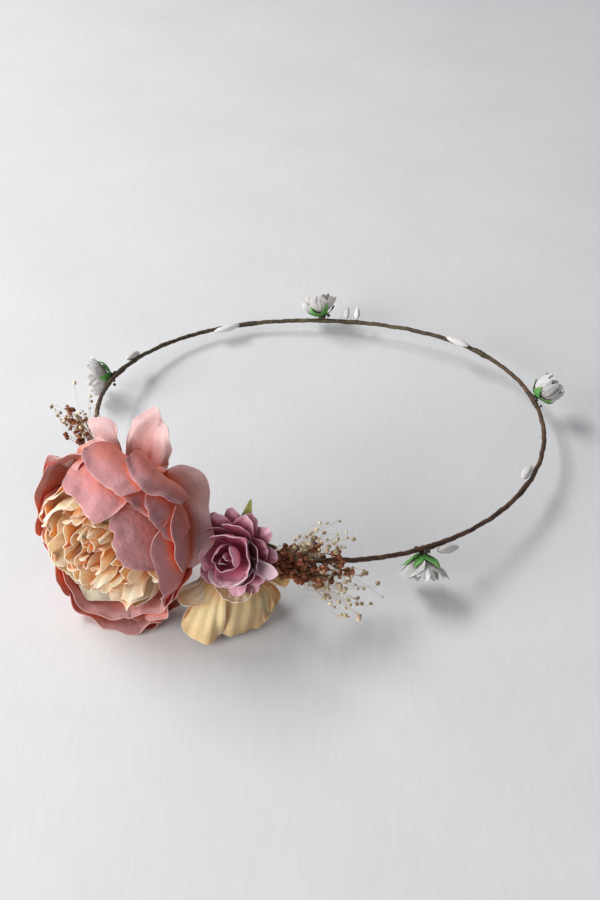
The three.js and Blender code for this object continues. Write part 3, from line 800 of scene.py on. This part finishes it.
# ---- the cream blossom, mouth down ----------------------------------------------------------------------
BLOSSOM = {"base": (-26.5, -90, 20), "axis": (-0.15, -0.28, -0.95)}
place_blossom = flower_frame(**BLOSSOM)
blossom_floor = on_table(**BLOSSOM)
BLOSSOM_PETALS = [
    dict(rim=[(74, 10, 20), (84, 11, 22.2), (98, 14.7, 24), (121, 17.8, 23.4), (131, 18.3, 19),
              (133, 15, 11)],
         belly=14, tone=0.5, curl=-0.5),
    dict(rim=[(345, 12.7, 10), (350, 12.8, 14.5), (4, 11.5, 18.6), (39, 9, 20.8), (70, 10, 21.3),
              (92, 11.5, 20)],
         belly=12, tone=0.35, curl=-0.5),
    dict(rim=[(333, 10.5, 4.6), (328, 14.5, 7), (331, 15.7, 10.4), (345, 13.5, 14), (6, 11.5, 16.5)],
         belly=11, tone=0.2, curl=-0.5),
    dict(rim=[(143, 15, 12), (170, 17, 18.5), (198, 17, 18), (226, 14, 11)], belly=14, curl=-0.5),
    dict(rim=[(212, 14, 12), (245, 16.5, 14), (280, 16, 13), (312, 12, 9)], belly=13, curl=-0.5),
]
BLOSSOM_LIPS = [
    dict(rim=[(104, 9, 9), (112, 14, 12), (124, 19.5, 13), (136, 21.5, 11), (137, 20.5, 8), (131, 16, 6)],
         reflex=2.5, curl=-1.2, tone=1.0),
    dict(rim=[(37, 13, 2.5), (44, 15, 4.5), (59, 15.5, 6), (80, 14.5, 6), (102, 13, 4)],
         reflex=2, curl=-1.5, tone=1.0, start=-0.5),
    dict(rim=[(322, 13, 0), (324, 16.5, 1.5), (330, 18, 3.5), (342, 16.5, 4.5), (354, 13.5, 3.5)],
         reflex=1.5, curl=-0.6, tone=0.6, start=-0.5),
]
BLOSSOM_COMMON = dict(grid=44, ribs=5.5, rib=0.28, floor=blossom_floor)
for name, petals, node, seed in (
    ("blossom_silk", BLOSSOM_PETALS, "blossom_petals", 1),
    ("blossom_heart_silk", BLOSSOM_LIPS, "blossom_heart", 2),
):
    petal_piece(name, petals, BUTTER, "silk_butter", [node], place_blossom, seed, **BLOSSOM_COMMON)

# ---- the calyxes of the two large flowers ------------------------------------------------------------------
petal_piece(
    "blossom_calyx_cloth",
    ring_of(5, 0, [(0.9, -1.3), (2.5, -0.8), (5, 1.2)], 2, 3, tip=0.1, rim=0.8, power=1.4),
    LEAF, "leaf_green", ["blossom_calyx"], place_blossom, 3, grid=12, ruffle=0.1, wrinkle=0.1,
)
petal_piece(
    "peony_calyx_cloth",
    ring_of(6, 0, [(1.6, -4.4), (4, -3.4), (6, -2), (10, -1.9)], 4, 4, tip=0.1, rim=0.7, power=1.6),
    LEAF, "leaf_green", ["peony_calyx"], place_peony, 4, grid=14, ruffle=0.1, wrinkle=0.1,
)

# ---- small white paper flowers --------------------------------------------------------------------------
OPEN = [(0.6, 0.4), (3.6, 2.0), (6.6, 4.6), (8.6, 8.0)]
CUPPED = [(0.6, 0.4), (3.8, 1.8), (5.2, 5.4), (4.8, 9.8)]
FLOWERS = {
    "front_flower": (296, (-0.08, -0.6, -0.8), OPEN),
    "side_flower": (11.9, (0.75, 0.2, 0.63), CUPPED),
    "back_flower": (87, (-0.2, 0.65, 0.73), OPEN),
    "left_flower": (157.5, (-0.88, -0.05, -0.1), OPEN),
}
FLOWER_STAND_OFF = 2.6
PAPER = dict(grid=24, ruffle=0.4, wrinkle=0.2, thickness=0.16, rim=0.3, ribs=5, rib=0.12)
GREEN = dict(grid=16, ruffle=0.2, wrinkle=0.15, thickness=0.18, tip=0.12, rim=0.75, power=1.5)


def small_flower(name, degrees, axis, profile, seed):
    """Two rings of notched paper petals on a ring of sepals, glued to the hoop by a dark drop."""
    base = hoop_line(degrees) + FLOWER_STAND_OFF * unit(axis)
    place = flower_frame(base, axis)
    floor = on_table(base, axis, 0.4)
    inner = [(r * 0.72, z + 0.6) for r, z in profile]
    rings = ring_of(5, 0, profile, 4.9, seed, 0.12, lobes=3, lobe_depth=0.16)
    rings += ring_of(4, 30, inner, 3.6, seed + 9, 0.15, lobes=2, lobe_depth=0.14)
    cap = ring_of(5, 36, [(0.6, -0.7), (3, 0.1), (5.2, 1.8), (6.6, 3.8)], 2.9, seed, 0.15)
    for end, petals, material, slot, node, shape in (
        ("paper", rings, WHITE, "paper_white", "petals", PAPER),
        ("green", cap, SEPAL, "sepal_green", "sepals", GREEN),
    ):
        petal_piece(
            f"{name}_{end}", petals, material, slot, [f"{name}_{node}"], place, seed, floor=floor, **shape
        )
    build = Build()
    rng = np.random.default_rng(seed)
    tube(build, place([(0, 0, -2.0), (0, 0, 0.4), (0, 0, 2.4)]), 0.45, 8)
    for spot in rng.normal(0, 1, (10, 3)) * (1.2, 1.2, 0.5) - (0, 0, 1.6):
        blob(build, rng, place([spot])[0], rng.uniform(0.5, 0.95), rough=0.4)
    build.piece(f"{name}_glue", GLUE, "stem_green", [f"{name}_stem"])


for i, (name, (degrees, axis, profile)) in enumerate(FLOWERS.items()):
    small_flower(name, degrees, axis, profile, i)

# ---- paper buds, each bound in by its base -----------------------------------------------------------------
# Both ends of each bud beside the hoop, as degrees, way outward and lift.
BUDS = {
    "front_bud": ((299, 2.1, -1.0), (305, 3.2, -1.7)),
    "side_bud": ((337, -2.0, 2.0), (343, -2.0, 2.0)),
    "rear_bud": ((399.4, -1.8, 2.3), (407, -1.8, 2.3)),
    "left_bud": ((471.8, -2.2, 2.0), (480, -3.0, 0.7)),
    "corner_bud": ((509, 2.0, 1.1), (503.5, 2.0, 1.1)),
}


def bud(name, start, stop, seed):
    """A bud of rolled paper: a pointed grain with the roll's edge winding round it."""
    rng = np.random.default_rng(seed)
    build = Build()
    start, stop = np.asarray(start, float), np.asarray(stop, float)
    length = np.linalg.norm(stop - start)
    along = np.linspace(0, 1, 40)[:, None]
    turn = np.linspace(0, 2 * np.pi, 36, endpoint=False)[None, :]
    girth = 1.85 * min(1, length / 9) * np.sin(np.pi * along**0.85) ** 0.55
    fold = ((turn / (2 * np.pi) + along * 0.8) % 1) ** 3
    ridges = 0.05 * np.cos(6 * turn + 3 * along) * np.sin(np.pi * along)
    uneven = 0.05 * waves(rng, 3 * along * np.ones_like(turn), np.sin(turn) * np.ones_like(along), 3, 1, 3)
    girth = girth * (1 - 0.15 * fold + ridges + uneven)
    lengthwise = along * length * np.ones_like(turn)
    points = np.stack([girth * np.cos(turn), 0.86 * girth * np.sin(turn), lengthwise], axis=-1)
    way = 1.0 - 0.75 * np.abs(along * np.ones_like(turn) - 0.5) ** 1.5
    values = np.stack([way, 0.94 + 0.05 * fold, np.full_like(fold, rng.uniform(0.2, 0.8)), 0 * fold], axis=-1)
    uv = np.stack([turn * 1.75 * np.ones_like(along), lengthwise], axis=-1)
    build.grid(points, uv, values, wrap=True, flip=True)
    build.piece(f"{name}_paper", WHITE, "paper_white", [name], flower_frame(start, stop - start))


for i, (name, ends) in enumerate(BUDS.items()):
    bud(name, *(hoop_line(degrees, outward) + (0, 0, lift) for degrees, outward, lift in ends), 50 + i)
for i, (name, degrees) in enumerate((("back_bud_a", 439.6), ("back_bud_b", 436.4))):
    start = hoop_line(degrees, 1.2) + (0, 0, 0.8)
    bud(name, start, start + unit((0.08, 0.84, 0.54)) * 6.4, 60 + i)

# ---- stems of the large flowers ------------------------------------------------------------------------------
for name, place, bottom, top, radius in (
    ("peony_stem", place_peony, -2.2, 12, 1.1),
    ("rose_stem", place_rose, -2.6, 3.9, 0.6),
    ("blossom_stem", place_blossom, -3.4, 3, 0.6),
):
    build = Build()
    heights = np.linspace(bottom, top, 24)
    lumps = radius * (1 + 0.1 * np.sin(heights * 2.1) + 0.06 * np.sin(heights * 5))
    tube(build, place(np.stack([0 * heights, 0 * heights, heights], axis=-1)), lumps, 14)
    build.piece(f"{name}_wrapped", TAPE, "stem_green", [name])

# ---- dried sprigs -----------------------------------------------------------------------------------------
def sprig(name, node, material, slot, root, tip, count, spread, seed_size, stem, seed, clump):
    """A dried spray: count thin arching stems from root towards tip, spread mm apart, each of which ends in a
    clump of seed heads of about seed_size."""
    rng = np.random.default_rng(seed)
    build = Build()
    root, tip = np.asarray(root, float), np.asarray(tip, float)
    reach = np.linalg.norm(tip - root)
    for _ in range(count):
        way = rng.uniform(0.3, 1.05)
        aside = rng.normal(0, 1, 3)
        aside = aside / max(1, np.linalg.norm(aside) / 1.1) * spread * (0.35 + 0.65 * way)
        end = root + (tip - root) * way + aside
        middle = root + (end - root) * 0.5 + rng.normal(0, 0.08, 3) * reach + aside * 0.1
        line, _ = path_through([root + rng.normal(0, 0.5, 3), middle, end], 10)
        tube(build, line, np.linspace(stem, stem * 0.6, 10), 5, rng.uniform(0, 0.5))
        for _ in range(clump):
            offset = rng.normal(0, 1, 3) * seed_size * 0.9
            size = seed_size * rng.uniform(0.6, 1.15)
            twig, _ = path_through([line[-3], end + offset * 0.4, end + offset], 5)
            tube(build, twig, stem * 0.6, 4, 0.3)
            blob(build, rng, end + offset, size, (1, rng.uniform(0.75, 1), rng.uniform(0.8, 1.1)), 0.28)
    build.piece(name, material, slot, [node])


BROWN_SPRAY = dict(material=BROWN, slot="dried_brown")
STRAW_SPRAY = dict(material=STRAW, slot="dried_straw", stem=0.06, clump=1)
sprig("brown_spray_right", "brown_sprig_right", root=(-16, -94.5, 28), tip=(2, -93.5, 24.5),
      count=78, spread=7.0, seed_size=0.95, stem=0.15, seed=1, clump=5, **BROWN_SPRAY)
sprig("straw_spray_right_upper", "gypsophila_right_upper", root=(-10, -94, 28), tip=(6, -90, 35),
      count=58, spread=6.5, seed_size=0.78, seed=2, **STRAW_SPRAY)
sprig("straw_spray_right_lower", "gypsophila_right_lower", root=(-6, -95, 23), tip=(13, -97, 14),
      count=84, spread=8.5, seed_size=0.78, seed=3, **STRAW_SPRAY)
sprig("brown_spray_left", "brown_sprig_left", root=(-82, -33, 28), tip=(-93, -24, 32),
      count=22, spread=5, seed_size=0.85, stem=0.13, seed=4, clump=3, **BROWN_SPRAY)
sprig("straw_spray_left", "gypsophila_left", root=(-81, -32, 29.5), tip=(-93, -18, 35),
      count=44, spread=7.5, seed_size=0.68, seed=5, **STRAW_SPRAY)

# ---- camera, light and table ------------------------------------------------------------------------------
CAMERA = {"pitch": 38.5, "distance": 514.0, "target": (-5.6, 0.0, 0.0)}
pitch = np.radians(CAMERA["pitch"])
eye = np.array(CAMERA["target"]) + CAMERA["distance"] * np.array([0, -np.cos(pitch), np.sin(pitch)])
camera = bpy.data.cameras.new("camera")
camera.lens = 50
camera.sensor_width = 36
camera_object = bpy.data.objects.new("camera", camera)
camera_object.location = (eye + SHIFT) * MM
camera_object.rotation_euler = (np.pi / 2 - pitch, 0, 0)
bpy.context.scene.collection.objects.link(camera_object)
bpy.context.scene.camera = camera_object


def area_light(name, towards, distance, size, power):
    """A rectangular light of size (along y, across) that looks at the crown."""
    light = bpy.data.lights.new(name, "AREA")
    light.shape = "RECTANGLE"
    light.size, light.size_y = size
    light.energy = power
    lamp = bpy.data.objects.new(name, light)
    z = Vector(towards).normalized()
    x = Vector((0, 1, 0)).cross(z).cross(z).normalized()
    lamp.matrix_world = Matrix((x, z.cross(x), z)).transposed().to_4x4()
    lamp.location = z * distance
    bpy.context.scene.collection.objects.link(lamp)


area_light("window", (-0.62, 0.32, 0.72), 1.4, (0.9, 0.36), 13)
area_light("fill", (-0.84, -0.46, 0.32), 1.1, (0.8, 0.6), 12)

world = bpy.data.worlds.new("room")
world.use_nodes = True
sky = world.node_tree.nodes["Background"].inputs
sky["Color"].default_value = (0.93, 0.95, 1.0, 1)
sky["Strength"].default_value = 0.29
bpy.context.scene.world = world

table_top = Nodes("table_top")
shade = table_top.noise(14, 3.0)
fibres = table_top.new("TexNoise", Scale=1.0, Detail=5.0, Roughness=0.65)
stretch = table_top.new("Mapping")
stretch.inputs["Scale"].default_value = (700, 60, 1)
table_top.link(table_top.new("TexCoord").outputs["Object"], stretch.inputs[0])
table_top.link(stretch.outputs[0], fibres.inputs["Vector"])
sheet = table_top.ramp(shade, (0.3, (0.70, 0.70, 0.705)), (0.7, (0.74, 0.74, 0.745)))
sheet = table_top.mix(0.5, sheet, table_top.ramp(fibres.outputs["Fac"], (0.35, 0.95), (0.65, 1.03)), "MULTIPLY")
floor_material = table_top.finish(sheet, roughness=0.75, Specular_IOR_Level=0.2)
TABLE_HALF = 1.6  # metres
corners = [(x * TABLE_HALF, y * TABLE_HALF, 0) for x, y in ((-1, -1), (1, -1), (1, 1), (-1, 1))]
floor_mesh = bpy.data.meshes.new("table_top")
floor_mesh.from_pydata(corners, [], [(0, 1, 2, 3)])
floor_mesh.materials.append(floor_material)
floor_piece = bpy.data.objects.new("table_top", floor_mesh)
bpy.context.scene.collection.objects.link(floor_piece)

bpy.context.scene.view_settings.view_transform = "Standard"
bpy.context.view_layer.update()
